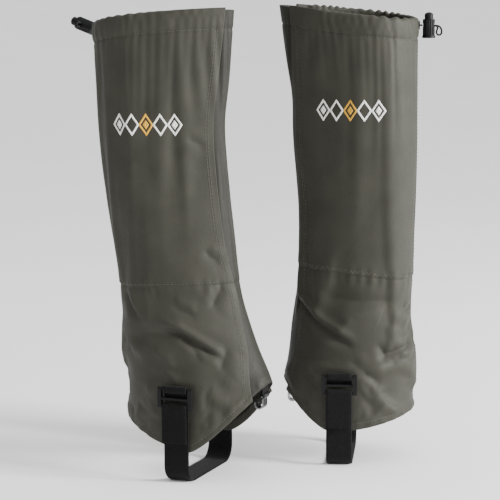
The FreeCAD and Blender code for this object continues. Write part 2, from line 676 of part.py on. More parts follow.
def lace_hook(g):
    """A sewn tab, a pin and the hook that hangs from it."""
    u, z = hook_pivot(g)
    half = HOOK_WIDTH / 2
    eye = PIN_D / 2 + PIN_FIT
    side = directions(g)[1]
    drop = z - HOOK_DROP
    thick = HOOK_THICK / 2
    mean = HOOK_R + thick
    hook = prism_along_v(g, -half, half, [
        (u + thick, z), (u + thick, drop),
        ((u - mean, drop - mean - thick), (u - 2 * mean - thick, drop)),
        (u - 2 * mean - thick, drop + HOOK_LIP), (u - 2 * mean + thick, drop + HOOK_LIP),
        (u - 2 * mean + thick, drop),
        ((u - mean, drop - mean + thick), (u - thick, drop)), (u - thick, z)])
    hook = hook.fuse(rod(at(g, u, -half, z), side, eye + HOOK_WALL, HOOK_WIDTH))
    hook = hook.cut(rod(at(g, u, -half - 1, z), side, eye, HOOK_WIDTH + 2)).removeSplitter()
    ear = half + EAR_GAP
    neck = TAB_BOTTOM + 0.4
    tab = box_uv(g, u - TAB_HALF, u + TAB_HALF, -ear - EAR, ear + EAR, z + TAB_BOTTOM,
                 z + HOOK_BELOW_TIP + TAB_REACH)
    for sign in (-1, 1):
        inner = sign * ear
        outer = sign * (ear + EAR)
        tab = tab.fuse(prism_along_v(g, inner, outer, [
            (u - EAR, z), ((u, z - EAR), (u + EAR, z)), (u + TAB_HALF, z + neck),
            (u - TAB_HALF, z + neck)]))
    pin = rod(at(g, u, -ear - EAR, z), side, PIN_D / 2, 2 * (ear + EAR))
    return {"lace_hook": hook, "hook_tab": tab.cut(pin).removeSplitter(), "hook_pin": pin}


def flap_axis(g):
    """Two points of the front flap's hinge line, just outside the flap's rear edge."""
    low, high = g["flap_hinge"][0][0], g["flap_hinge"][-1][0]
    rear = flap_rear(g)

    def edge_v(z):
        return skin_uv(g, rear(z), z, FLAP_PROUD)[1]

    ends = [edge_v(low), edge_v(high)]
    swell = max(edge_v(z) - ends[0] - (ends[1] - ends[0]) * (z - low) / (high - low)
                for z in spread(low, high, 21))
    return [at(g, smooth(g["flap_hinge"], z) - 0.3, v + swell + 0.3, z)
            for z, v in zip((low, high), ends)]


def gaiter(g):
    """Every piece of one gaiter by name."""
    found = {}
    for group in (panels, closure, trims, cords, cord_lock, straps, lace_hook):
        found.update(group(g))
    return {"%s_%s" % (g["name"], name): shape for name, shape in found.items()}


if __name__ == "__main__":
    os.makedirs("parts", exist_ok=True)
    for g in (RIGHT, LEFT):
        for name, shape in gaiter(g).items():
            print("%-28s valid %s solids %d volume %.1f"
                  % (name, shape.isValid(), len(shape.Solids), shape.Volume))
            shape.exportStep("parts/%s.step" % name)
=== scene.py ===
"""A pair of knee-high gaiters: cloth, cords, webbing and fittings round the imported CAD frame.

Lengths are in millimetres in each gaiter's own directions (U to the front, V to the outer side, Z up,
t the angle round the leg) until a mesh is made, and in metres from there on. The outlines repeat the
CAD source's, and what can be read from the CAD nodes is read from them.
"""
import bmesh
import bpy
import math
import numpy as np
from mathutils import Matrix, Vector


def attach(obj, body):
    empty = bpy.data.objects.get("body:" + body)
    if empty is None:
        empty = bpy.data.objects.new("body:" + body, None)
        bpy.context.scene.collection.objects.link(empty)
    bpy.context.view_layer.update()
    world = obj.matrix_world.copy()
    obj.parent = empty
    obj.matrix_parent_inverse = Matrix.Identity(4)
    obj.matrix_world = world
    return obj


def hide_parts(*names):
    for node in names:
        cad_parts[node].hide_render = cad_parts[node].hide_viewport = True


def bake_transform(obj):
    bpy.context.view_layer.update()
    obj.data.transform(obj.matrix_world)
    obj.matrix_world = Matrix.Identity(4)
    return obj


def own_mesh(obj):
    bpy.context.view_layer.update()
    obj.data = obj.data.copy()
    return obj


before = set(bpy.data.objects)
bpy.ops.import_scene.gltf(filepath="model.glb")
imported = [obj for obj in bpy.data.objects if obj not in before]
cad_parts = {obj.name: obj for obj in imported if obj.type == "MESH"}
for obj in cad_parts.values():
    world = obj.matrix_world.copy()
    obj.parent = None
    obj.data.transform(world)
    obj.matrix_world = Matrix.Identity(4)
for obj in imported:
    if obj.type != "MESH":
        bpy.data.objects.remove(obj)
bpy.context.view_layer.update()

span = np.linspace
MM = 0.001
DEG = math.pi / 180
CLOTH = 0.9                 # thickness of the cloth
FLAP_PROUD = 1.9            # outer face of the front flap above the panels
FLAP_RAMP = 30.0            # width behind the hinge line over which the cloth comes down to the panels
CASING_HEIGHT = 19.0
CASING_DEPTH = 4.8
LEDGE = 0.6                 # upper panel's edge over the lower panel
HEM_TURN = 8.0
HEM_R = 0.85                # of the cloth's turn under the hem
RIM_R = 0.6                 # of its turn over the rim, away from the drawcord's tunnel
RIM_TURN = 4.5              # how far it goes down inside there
CASING_SEAM = 4.0           # the tunnel's turn-in ends that much above its seam
EYE_R = 3.7                 # of the hole for the eyelet
STITCH = 2.7                # length of a stitch, the gap to the next and the thread's radius
STITCH_GAP = 0.9
THREAD_R = 0.3
SEAM_POINTS = 420           # of the line that a seam's stitches follow
DRAPE_FRAMES = 26
DRAPE_LIMIT = 2.2           # the simulation's wrinkles are squeezed to this height and depth
CORD = 1.8
PITCH = 2.3
CORD_DEPTH = -2.7
BARREL_R = 5.8
BARREL_TOP = 5.8
BARREL_LENGTH = 18.0
STRAND_GAP = 0.4
WEBBING_WIDTH = 25.0
WEBBING = 1.6
STRAP_CORNER = 16.0

RIGHT = {
    "name": "right", "facing": 1, "yaw": 22.0, "centre": (-76.5, -30.0), "seed": 11, "gather": 0.45,
    "front": [(20, 102), (60, 94), (92, 85), (121, 72.5), (150, 62), (179, 53), (236, 45),
              (292, 37), (335, 34.5), (377, 38.5), (440, 43)],
    "back": [(20, -60), (92, -62), (121, -64.5), (150, -62.5), (179, -65), (236, -75.5),
             (292, -84), (335, -90.5), (377, -94), (440, -98)],
    "half_width": [(20, 50), (90, 48), (140, 43), (180, 41), (290, 41), (440, 43)],
    "lean": [(20, 0), (180, -2), (440, -12)],
    "flap_edge": [(20, 86), (92, 72), (126, 65), (193, 47), (236, 38), (292, 30), (335, 27),
                  (377, 31.5), (440, 37)],
    "flap_hinge": [(40, 40), (440, -2)],
    "rim": (434.5, 0.116, 0.10), "ankle": (182.0, 0.045),
    "hem": [(-62, 55), (-4, 35), (27, 32), (85, 88), (110, 112)],
    "strap_u": 10.0, "emblem_u": -28.0, "emblem_drop": 103.0, "exit_drop": 4.6,
    "lock_at": (18.4, 0.0, 5.8), "lock_hole": (0.0, 1.0, 0.0), "lock_plunge": (0.94, 0.0, 0.342),
    "lead": [((2.8, 0, 0), (1, 1, 0)), ((4.6, -8.6, 0), (1, 1, 0)),
             ((14.4, -12.4, 4.2), (0, 0.5, -0.9)), ((19.0, -11.6, 5.7), (0.3, 0, -0.95))],
    "tail": [(6.3, 1.15, 0), (8.9, 2.9, 0), (12.0, 2.0, 0), (12.0, -2.0, 0), (8.9, -2.9, 0),
             (6.3, -1.15, 0)],
    "cord_lengths": (0.1465, 0.1709, 0.0396), "stretch": (0.0, 14.0),
    # folds: (angle, height) along each, depth of its valley, its width, swell above and below
    "folds": [
        ([(52, 217), (46, 209), (34, 203)], 1.3, 4.2, 0.8, 0.5),
        ([(34, 188), (40, 178), (54, 160)], 1.8, 4.2, 1.1, 0.9),
        ([(88, 164), (80, 160), (66, 154)], 1.1, 4.4, 1.2, 0.2),
        ([(164, 116), (140, 130), (112, 138), (86, 137), (70, 132)], 2.4, 7.0, 1.6, 0.9),
        ([(102, 143), (84, 139), (66, 126), (50, 114)], 3.8, 3.4, 3.3, 1.3),
        ([(84, 139), (74, 127), (70, 112)], 2.0, 5.0, 0.0, 0.0),
        ([(110, 124), (96, 116), (92, 104)], -2.0, 7.0, 0.0, 0.0),
        ([(140, 178), (120, 148)], 2.2, 3.6, 1.3, 0.9),
        ([(44, 128), (58, 104)], 1.4, 4.0, 0.8, 0.8),
        ([(58, 320), (38, 310)], 1.0, 4.0, 0.6, 0.4),
        ([(128, 304), (104, 296), (82, 286)], 1.3, 11.0, 0.9, 0.4),
    ],
}
LEFT = {
    "name": "left", "facing": -1, "yaw": -6.0, "centre": (76.5, 30.0), "seed": 23, "gather": 0.75,
    "front": [(20, 71), (80, 65), (110, 61), (140, 57), (184, 51.5), (243, 50), (302, 54),
              (360, 56), (390, 61), (440, 68)],
    "back": [(20, -70), (80, -68), (110, -66), (140, -61.5), (184, -63), (243, -64.5),
             (302, -65.5), (360, -66), (440, -67.5)],
    "half_width": [(20, 50), (90, 47), (140, 43), (184, 41), (290, 41), (440, 43)],
    "lean": [(20, 0), (180, 1), (440, 6)],
    "flap_edge": [(20, 58), (80, 55), (140, 48), (184, 43.5), (243, 42.5), (302, 46.5),
                  (360, 48), (390, 51), (440, 54)],
    "flap_hinge": [(40, 32), (440, 29)],
    "rim": (436.5, 0.105, -0.056), "ankle": (186.0, 0.10),
    "hem": [(-70, 50), (-12, 36), (20, 36), (66, 77), (90, 98)],
    "strap_u": 4.0, "emblem_u": -5.0, "emblem_drop": 91.0, "exit_drop": 6.6,
    "lock_at": (9.6, 0.0, 0.0), "lock_hole": (1.0, 0.0, 0.0), "lock_plunge": (0.0, 0.0, 1.0),
    "lead": [],
    "tail": [(7.4, 1.15, 0), (8.7, 1.15, -2.5), (7.4, 1.0, -5.2), (7.5, 0.6, -8.2),
             (9.8, 0, -9.7), (12.1, -0.6, -8.2), (12.4, -1.0, -5.2), (11.3, -1.15, -2.2),
             (8.4, -1.15, 0)],
    "cord_lengths": (0.1202, 0.139, 0.0504), "stretch": (-1.5, 3.2),
    "folds": [
        ([(14, 166), (40, 150), (64, 134), (86, 122), (98, 112)], 4.6, 3.6, 3.3, 1.0),
        ([(50, 171), (74, 165), (100, 160), (130, 161), (146, 153)], 2.4, 5.6, 0.8, 1.6),
        ([(178, 152), (158, 150), (148, 158)], 2.6, 3.8, 1.2, 1.2),
        ([(116, 121), (127, 108), (150, 114), (176, 122)], 2.8, 3.6, 1.2, 1.8),
        ([(112, 108), (136, 102), (178, 106)], 1.7, 3.6, 0.6, 1.1),
        ([(44, 92), (60, 80), (78, 60)], 1.8, 3.2, 0.8, 1.4),
        ([(90, 104), (104, 93), (124, 78)], 1.7, 4.6, 1.4, 0.4),
        ([(88, 120), (84, 132), (96, 146)], -1.6, 8.0, 0.0, 0.0),
        ([(40, 208), (46, 188)], 1.2, 3.0, 0.6, 0.6),
    ],
}
TAPER = [(20, 0.12), (90, 0.15), (180, 0.32), (250, 0.42), (440, 0.45)]


# ---- the CAD's outlines

def smooth(table, z):
    """Value at z of a curve through the table's points, straight beyond its ends."""
    x, y = (np.array(c, float) for c in zip(*table))
    n = len(x)
    lo, hi = np.maximum(np.arange(n) - 1, 0), np.minimum(np.arange(n) + 1, n - 1)
    slope = (y[hi] - y[lo]) / (x[hi] - x[lo])
    z = np.asarray(z, float)
    i = np.clip(np.searchsorted(x, z, side="right") - 1, 0, n - 2)
    h = x[i + 1] - x[i]
    s = (z - x[i]) / h
    inside = ((2 * s ** 3 - 3 * s ** 2 + 1) * y[i] + (s ** 3 - 2 * s ** 2 + s) * h * slope[i]
              + (3 * s ** 2 - 2 * s ** 3) * y[i + 1] + (s ** 3 - s ** 2) * h * slope[i + 1])
    below, above = y[0] + slope[0] * (z - x[0]), y[-1] + slope[-1] * (z - x[-1])
    return np.where(z <= x[0], below, np.where(z >= x[-1], above, inside))


def ways(g):
    """The gaiter's U and V directions."""
    yaw = g["yaw"] * DEG
    return (np.array([g["facing"] * math.cos(yaw), -math.sin(yaw), 0.0]),
            np.array([-g["facing"] * math.sin(yaw), -math.cos(yaw), 0.0]))


def at(g, u, v, z):
    """Points in metres from the gaiter's own directions."""
    u_way, v_way = ways(g)
    u, v, z = np.broadcast_arrays(*(np.asarray(c, float) for c in (u, v, z)))
    flat = np.stack([np.full(u.shape, g["centre"][0]), np.full(u.shape, g["centre"][1]), z], -1)
    return (flat + u[..., None] * u_way + v[..., None] * v_way) * MM


def section(g, z):
    front, back = smooth(g["front"], z), smooth(g["back"], z)
    return ((front - back) / 2, (front + back) / 2, smooth(g["half_width"], z),
            smooth(g["lean"], z), smooth(TAPER, z))


def turn_at(g, u, z, side=1):
    """The angle round the leg where the skin is at distance u: side 1 is outer, -1 inner."""
    a, middle, _, _, _ = section(g, z)
    t = np.arccos(np.clip((u - middle) / a, -1, 1))
    return t if side > 0 else 2 * math.pi - t


def free_edge(g, z):
    return turn_at(g, smooth(g["flap_edge"], z), z)


def inner_edge(g, z, back=16):
    """The angle of the inner side's edge, that far behind the leg's front."""
    return turn_at(g, smooth(g["front"], z) - back, z, -1)


def skin_uv(g, t, z, depth=0.0):
    a, middle, b, lean, k = section(g, z)
    u, v = middle + a * np.cos(t), lean + b * np.sin(t) * (1 - k * np.cos(t))
    nu, nv = b * (np.cos(t) - k * np.cos(2 * t)), a * np.sin(t)
    size = np.hypot(nu, nv)
    return u + depth * nu / size, v + depth * nv / size


def skin(g, t, z, depth=0.0):
    u, v = skin_uv(g, t, z, depth)
    return at(g, u, v, z)


def rim_z(g, t):
    base, slope_u, slope_v = g["rim"]
    u, v = skin_uv(g, t, base)
    return base + slope_u * u + slope_v * v


def eyelet_z(g):
    return rim_z(g, math.pi) - g["exit_drop"]


def ankle_z(g, t):
    base, slope_u = g["ankle"]
    return base + slope_u * skin_uv(g, t, base)[0]


def hem_z(g, t):
    z = np.full(np.shape(t), 50.0)
    for _ in range(12):
        z = 0.5 * z + 0.5 * smooth(g["hem"], skin_uv(g, t, z)[0])
    return z


def arc_table(g):
    """Distance round the skin from the front, by height and angle."""
    heights, angles = np.arange(20, 461, 10.0), np.arange(-80, 361, 1.0)
    zz, tt = np.meshgrid(heights, angles * DEG, indexing="ij")
    u, v = skin_uv(g, tt, zz)
    steps = np.hypot(np.diff(u, axis=1), np.diff(v, axis=1))
    s = np.concatenate([np.zeros((len(heights), 1)), np.cumsum(steps, axis=1)], axis=1)
    return s - s[:, 80:81]


def arc(g, t, z):
    x = np.clip((np.asarray(z, float) - 20) / 10, 0, 43.999)
    y = np.clip(np.asarray(t, float) / DEG + 80, 0, 439.999)
    x, y = np.broadcast_arrays(x, y)
    i, j = x.astype(int), y.astype(int)
    fx, fy, table = x - i, y - j, g["arc"]
    return ((1 - fx) * ((1 - fy) * table[i, j] + fy * table[i, j + 1])
            + fx * ((1 - fy) * table[i + 1, j] + fy * table[i + 1, j + 1]))


def turn_from(g, t, z, distance):
    """The angle that lies distance further round the skin towards the back."""
    for _ in range(8):
        u0, v0 = skin_uv(g, t - 0.5 * DEG, z)
        u1, v1 = skin_uv(g, t + 0.5 * DEG, z)
        t = t + DEG * (distance / 8) / np.hypot(u1 - u0, v1 - v0)
    return t


# ---- noise and folds

def step(x):
    x = np.clip(x, 0, 1)
    return x * x * (3 - 2 * x)


def cubic(field, x, y, wrap=False):
    """A smooth surface through the field's neighbourhood at column x and row y."""
    x, y = np.broadcast_arrays(np.asarray(x, float), np.asarray(y, float))
    i, j = np.floor(x).astype(int), np.floor(y).astype(int)
    fx, fy = x - i, y - j

    def weights(f):
        return ((1 - f) ** 3 / 6, (3 * f ** 3 - 6 * f ** 2 + 4) / 6,
                (-3 * f ** 3 + 3 * f ** 2 + 3 * f + 1) / 6, f ** 3 / 6)

    total = np.zeros(x.shape)
    n, m = field.shape
    for di, wi in zip((-1, 0, 1, 2), weights(fx)):
        row = (i + di) % n if wrap else np.clip(i + di, 0, n - 1)
        for dj, wj in zip((-1, 0, 1, 2), weights(fy)):
            total += wi * wj * field[row, np.clip(j + dj, 0, m - 1)]
    return total


def noise(seed, s, z, wide, tall):
    """Smooth seeded noise, about -1 to 1, with features of that width and height."""
    field = np.random.default_rng(seed).uniform(-1, 1, (64, 64))
    x = (np.asarray(s, float) / wide + 16) % 60 + 2
    return 1.7 * cubic(field, x, np.clip(np.asarray(z, float) / tall + 2, 0, 61))


def fold(g, points, s, z, depth, width, above, below):
    """A creased fold along points (angle, height): a valley with a swell each side."""
    line = [(float(arc(g, a * DEG, h)), float(h)) for a, h in points]
    best = np.full(s.shape, 1e9)
    signed, share = np.zeros(s.shape), np.zeros(s.shape)
    lengths = [math.dist(p, q) for p, q in zip(line, line[1:])]
    done = 0.0
    for (s0, z0), (s1, z1), size in zip(line, line[1:], lengths):
        ds, dz = (s1 - s0) / size, (z1 - z0) / size
        along = np.clip((s - s0) * ds + (z - z0) * dz, 0, size)
        ps, pz = s - s0 - along * ds, z - z0 - along * dz
        far = np.hypot(ps, pz)
        side = np.where((ps * -dz + pz * ds) * (1 if ds >= 0 else -1) >= 0, 1, -1)
        near = far < best
        best = np.where(near, far, best)
        signed = np.where(near, far * side, signed)
        share = np.where(near, (done + along) / sum(lengths), share)
        done += size
    ends = step(share / 0.3) * step((1 - share) / 0.3)
    valley = -depth * np.exp(-np.abs(signed / width) ** 1.4)
    up = above * np.exp(-((signed - 1.7 * width) / (1.25 * width)) ** 2)
    down = below * np.exp(-((signed + 2.4 * width) / (1.8 * width)) ** 2)
    return ends * (valley + up + down)


def ripple(seed, s, pitch):
    """Irregular gathers along s."""
    warp = 1.1 * noise(seed, s, 0 * s, 3.1 * pitch, 1)
    size = 0.6 + 0.75 * noise(seed + 1, s, 0 * s, 1.9 * pitch, 1)
    wave = np.sin(2 * math.pi * (s / pitch + warp))
    return size * wave + 0.35 * noise(seed + 2, s, 0 * s, 0.45 * pitch, 1)


def relief(g, t, z):
    """How far the cloth stands off the CAD's skin, along its normal."""
    s = arc(g, t, z)
    back = arc(g, math.pi, z)
    u = skin_uv(g, t, z)[0]
    rim, ankle, hem = rim_z(g, t), ankle_z(g, t), hem_z(g, t)
    seed = g["seed"]
    out = 1.0 * noise(seed, s, z, 46, 60) + 0.45 * noise(seed + 1, s + 0.5 * z, z, 26, 34)
    out += 0.16 * noise(seed + 2, s - 0.3 * z, z, 9, 15)
    low = step((215 - z) / 60)
    out += low * (0.8 * noise(seed + 3, s + 0.9 * z, z - 0.5 * s, 30, 19)
                  + 0.35 * noise(seed + 4, s - 0.8 * z, z + 0.4 * s, 17, 13))
    if g.get("drape") is not None:
        rows = g["drape"].shape[1] - 1
        share = np.clip((z - hem) / (rim - hem), 0, 1)
        out += cubic(g["drape"], (t / (2 * math.pi)) * g["drape"].shape[0], share * rows, True)
    for points, depth, width, above, below in g["folds"]:
        out += fold(g, points, s, z, depth, width, above, below)
    # the ankle: gathers either side of the seam, over the elastic
    gather = ripple(seed + 7, s, 9.5) * step((t / DEG - 25) / 30) * step((335 - t / DEG) / 30)
    out += 0.62 * g["gather"] * gather * np.exp(-((z - ankle + 1) / 8) ** 2)
    out -= 0.7 * np.exp(-((z - ankle) / 1.3) ** 2) + 0.5 * np.exp(-((z - ankle) / 9) ** 2)
    out += LEDGE * step((z - ankle) / 0.6 + 0.5) * step((ankle + 16 - z) / 14)
    # the drawcord's tunnel
    tunnel = g["tunnel"](t)
    drop = rim - z
    over = ripple(seed + 9, s, 8.0)
    puff = np.clip(drop * (CASING_HEIGHT - drop), 0, None) / (CASING_HEIGHT / 2) ** 2
    out += tunnel * (1.2 * puff + g["gather"] * over * (
        0.75 * np.exp(-((drop - CASING_HEIGHT) / 8) ** 2) + 0.6 * step((CASING_HEIGHT - drop) / 10)))
    out -= 0.9 * np.exp(-((drop - CASING_HEIGHT) / 1.2) ** 2)
    # hem: a slight groove at its stitches
    out -= 0.3 * np.exp(-((z - hem - 6) / 1.1) ** 2)
    out += 0.3 * ripple(seed + 12, s, 13) * np.exp(-((z - hem) / 9) ** 2)
    # back seam
    out -= 0.5 * np.exp(-((s - back) / 1.2) ** 2)
    # flat under the buckle and the strap, and round the eyelet, and where layers are sewn
    strap = step((26 - np.abs(u - g["strap_u"])) / 8) * step((100 - z) / 8)
    out = out * (1 - strap) + strap * np.clip(out, -0.8, 0.8) * 0.5
    eye = np.hypot(s - back, z - eyelet_z(g))
    out *= step((eye - 4.5) / 6)
    front = arc(g, 2 * math.pi, z)
    out *= step((s + 14) / 14) * step((front - s - 4) / 22)
    return out


def outer_relief(g, t, z):
    return relief(g, t, z) + outer_depth(g, t, z)


def scallop(g, t, z):
    """The rim's small ups and downs over the gathers."""
    s = arc(g, t, z)
    drop = rim_z(g, t) - z
    eye = np.abs(s - arc(g, math.pi, z))
    return (g["tunnel"](t) * 1.1 * g["gather"] * ripple(g["seed"] + 10, s, 9.0) * step((22 - drop) / 20)
            * step((eye - 5) / 8))


def outer_depth(g, t, z):
    """Outer face of the outer cloth: proud over the flap, down to the panels behind its hinge."""
    s = arc(g, t, z)
    hinge = arc(g, turn_at(g, smooth(g["flap_hinge"], z), z), z)
    return FLAP_PROUD * step((hinge + FLAP_RAMP - s) / FLAP_RAMP) * (s < arc(g, math.pi, z))


# ---- meshes

def make(name, verts, faces, uv=None):
    mesh = bpy.data.meshes.new(name)
    mesh.from_pydata([tuple(p) for p in verts], [], faces)
    mesh.validate()
    mesh.shade_smooth()
    if uv is not None:
        layer = mesh.uv_layers.new(name="cloth")
        index = np.zeros(len(mesh.loops), np.int32)
        mesh.loops.foreach_get("vertex_index", index)
        layer.data.foreach_set("uv", np.asarray(uv, np.float32)[index].ravel())
    made = bpy.data.objects.new(name, mesh)
    bpy.context.scene.collection.objects.link(made)
    return made


def unit(v):
    v = np.asarray(v, float)
    return v / np.maximum(np.linalg.norm(v, axis=-1, keepdims=True), 1e-12)


def lengths(points):
    """Distance along the points to each of them."""
    steps = np.linalg.norm(np.diff(points, axis=0), axis=1)
    return np.concatenate([[0], np.cumsum(steps)])


def ring_faces(base, rings, sides, flip=False):
    """Faces between rings of vertices that start at base, then a cap on the first and the last."""
    faces = []
    for low in range(base, base + (rings - 1) * sides, sides):
        for a in range(sides):
            b = (a + 1) % sides
            near, far = (low + sides + a, low + b) if flip else (low + b, low + sides + a)
            faces.append((low + a, near, low + sides + b, far))
    start = tuple(range(base, base + sides))
    end = tuple(v + (rings - 1) * sides for v in start)
    return faces + ([start, end[::-1]] if flip else [start[::-1], end])


def flat_size(g, t, z, turned):
    """Width, height and area of a panel laid out flat as finished, in metres."""
    p = skin(g, t, z, turned)
    du, dv = np.diff(p, axis=1)[:-1], np.diff(p, axis=0)[:, :-1]
    area = float(np.linalg.norm(np.cross(du, dv), axis=-1).sum())
    width = float(np.linalg.norm(np.diff(p, axis=1), axis=-1).sum(1).max())
    height = float(np.linalg.norm(np.diff(p, axis=0), axis=-1).sum(0).max())
    return (width, height), min(area, width * height)


def shell(name, p, uv, thick, sign, keep=None):
    """A closed sheet of that thickness about the grid of points p, with holes where keep is false."""
    rows, cols = p.shape[:2]
    n = unit(np.cross(np.gradient(p, axis=0), np.gradient(p, axis=1)) * sign)
    verts = np.concatenate([(p + n * thick * MM / 2).reshape(-1, 3),
                            (p - n * thick * MM / 2).reshape(-1, 3)])
    total = rows * cols
    i, j = np.meshgrid(np.arange(rows - 1), np.arange(cols - 1), indexing="ij")
    if keep is not None:
        i, j = i[keep], j[keep]
    a = (i * cols + j).ravel()
    quads = np.stack([a, a + cols, a + cols + 1, a + 1], 1)
    if sign < 0:
        quads = quads[:, ::-1]
    edges = np.concatenate([quads[:, [k, (k + 1) % 4]] for k in range(4)])
    key = np.sort(edges, axis=1)
    code = key[:, 0].astype(np.int64) * total + key[:, 1]
    _, first, uses = np.unique(code, return_index=True, return_counts=True)
    rim = edges[first[uses == 1]]
    walls = np.stack([rim[:, 1], rim[:, 0], rim[:, 0] + total, rim[:, 1] + total], 1)
    faces = np.concatenate([quads, quads[:, ::-1] + total, walls])
    used, faces = np.unique(faces, return_inverse=True)
    faces = faces.reshape(-1, 4)
    both = np.concatenate([uv.reshape(-1, 2)] * 2)
    return make(name, verts[used], faces.tolist(), both[used])


def grid_between(first, last, low, high, columns, rows):
    """Angles and heights of a grid between two edges given as angles by height."""
    i, j = np.meshgrid(rows, columns, indexing="ij")
    z = np.full(i.shape, 200.0)
    for _ in range(6):
        t = first(z) + (last(z) - first(z)) * j
        z = low(t) + (high(t) - low(t)) * i
    return t, z


def cloth_rows(g, first, last, columns, lower, upper):
    """Angles, heights and turned-in depths of a panel's grid, from the hem's inside over to the rim's."""
    parts = []
    hem, ankle, rim = (lambda t: hem_z(g, t)), (lambda t: ankle_z(g, t)), (lambda t: rim_z(g, t))
    radius = lambda t: RIM_R + (CASING_DEPTH / 2 - RIM_R) * g["tunnel"](t)
    top = lambda t: rim(t) - radius(t)
    base = lambda t: hem(t) + HEM_R
    t, z = grid_between(first, last, base, ankle, columns, span(0, 1, lower))
    t_up, z_up = grid_between(first, last, ankle, top, columns, span(0, 1, upper))
    bottom_t, bottom_z = t[0], z[0]
    for rise in (HEM_TURN, HEM_TURN * 0.66, HEM_TURN * 0.33, 0):
        parts.append((bottom_t, bottom_z + rise, np.full_like(columns, -2 * HEM_R)))
    for k in range(1, 5):
        a = k / 5 * math.pi
        parts.append((bottom_t, bottom_z - HEM_R * math.sin(a),
                      np.full_like(columns, -HEM_R - HEM_R * math.cos(a))))
    parts += [(*row, np.zeros_like(columns)) for row in [*zip(t, z), *zip(t_up[1:], z_up[1:])]]
    top_t, top_z, r = t_up[-1], z_up[-1], radius(t_up[-1])
    for k in range(1, 7):
        a = k / 7 * math.pi
        parts.append((top_t, top_z + r * math.sin(a), -r + r * math.cos(a)))
    length = RIM_TURN + (CASING_HEIGHT - CASING_SEAM) * g["tunnel"](top_t)
    for k in range(13):
        parts.append((top_t, top_z - length * k / 12, -2 * r))
    return tuple(np.array(c) for c in zip(*parts))


def panel(g, name, first, last, columns, lower, upper, outer):
    t, z, turned = cloth_rows(g, first, last, span(0, 1, columns), lower, upper)
    depth = turned + (outer_relief if outer else relief)(g, t, z) - CLOTH / 2
    p = skin(g, t, z + scallop(g, t, z), depth)
    eye = np.hypot(arc(g, t, z) - arc(g, math.pi, z), z - eyelet_z(g))
    middle = (eye[:-1, :-1] + eye[1:, 1:] + eye[:-1, 1:] + eye[1:, :-1]) / 4
    keep = (middle > EYE_R) | (turned[:-1, :-1] < -2)
    uv = np.stack([arc(g, t, z), z - turned], -1) * MM
    return shell(g["name"] + name, p, uv, CLOTH, g["facing"], keep), flat_size(g, t, z, turned)


def layer(g, name, first, last, low, high, columns, rows, centre, thick, fuzz=0.0):
    """A layer that follows the outer cloth at another depth."""
    t, z = grid_between(first, last, low, high, span(0, 1, columns), span(0, 1, rows))
    depth = centre + relief(g, t, z)
    if fuzz:
        depth = depth + fuzz * np.random.default_rng(g["seed"]).uniform(-1, 1, t.shape)
    uv = np.stack([arc(g, t, z), z], -1) * MM
    return (shell(g["name"] + name, skin(g, t, z, depth), uv, thick, g["facing"]),
            flat_size(g, t, z, np.full(t.shape, centre)))


def tube(name, points, radius, sides=12):
    """A round tube along points, shut at each end by a flat cap."""
    p = np.array(points, float)
    tangent = unit(np.gradient(p, axis=0))
    normal = unit(np.cross(tangent[0], [0.3, 0.2, 0.93]))
    verts, uvs = [], []
    for c, d, run in zip(p, tangent, lengths(p)):
        normal = unit(normal - d * (normal @ d))
        side = np.cross(d, normal)
        for a in np.arange(sides) * 2 * math.pi / sides:
            verts.append(c + radius * (math.cos(a) * normal + math.sin(a) * side))
            uvs.append((a * radius, run))
    return make(name, verts, ring_faces(0, len(p), sides), uvs)


def nurbs_points(route):
    """Points of the smooth line that has the route as its control points."""
    data = bpy.data.curves.new("route", "CURVE")
    data.dimensions = "3D"
    data.resolution_u = 8
    spline = data.splines.new("NURBS")
    spline.points.add(len(route) - 1)
    for point, place in zip(spline.points, route):
        point.co = (*place, 1.0)
    spline.order_u = 3
    spline.use_endpoint_u = True
    holder = bpy.data.objects.new("route", data)
    mesh = bpy.data.meshes.new_from_object(holder)
    points = [tuple(v.co) for v in mesh.vertices]
    bpy.data.meshes.remove(mesh)
    bpy.data.objects.remove(holder)
    bpy.data.curves.remove(data)
    return points


def strip(name, g, path, width, middle_u):
    """Flat webbing along a path of (v, z), its width along U, with rounded edges."""
    path = np.array(path, float)
    way = unit(np.gradient(path, axis=0))
    out = np.stack([way[:, 1], -way[:, 0]], 1)
    half, r = width / 2, WEBBING / 2
    ring = [(x, r) for x in span(-half + r, half - r, 11)]
    ring += [(half - r + r * math.sin(a), r * math.cos(a)) for a in (0.8, 1.57, 2.35)]
    ring += [(x, -r) for x in span(half - r, -half + r, 11)]
    ring += [(-half + r - r * math.sin(a), -r * math.cos(a)) for a in (0.8, 1.57, 2.35)]
    verts, uvs = [], []
    for (v, z), (ov, oz), far in zip(path, out, lengths(path)):
        for x, h in ring:
            verts.append(at(g, middle_u + x, v + ov * h, z + oz * h))
            uvs.append((x * MM, far * MM))
    return make(name, verts, ring_faces(0, len(path), len(ring), flip=True), uvs)


def bow(centre, radius, start, end, count):
    """Points of an arc in the (v, z) plane, angles in degrees from +V."""
    return [(centre[0] + radius * math.cos(a * DEG), centre[1] + radius * math.sin(a * DEG))
            for a in span(start, end, count)]


def run_of(a, b, whole=False):
    """Points of a straight run from a, up to b or with it."""
    count = max(2, int(math.dist(a, b) / 1.6) + 1)
    return [tuple(p) for p in span(a, b, count)][:None if whole else -1]


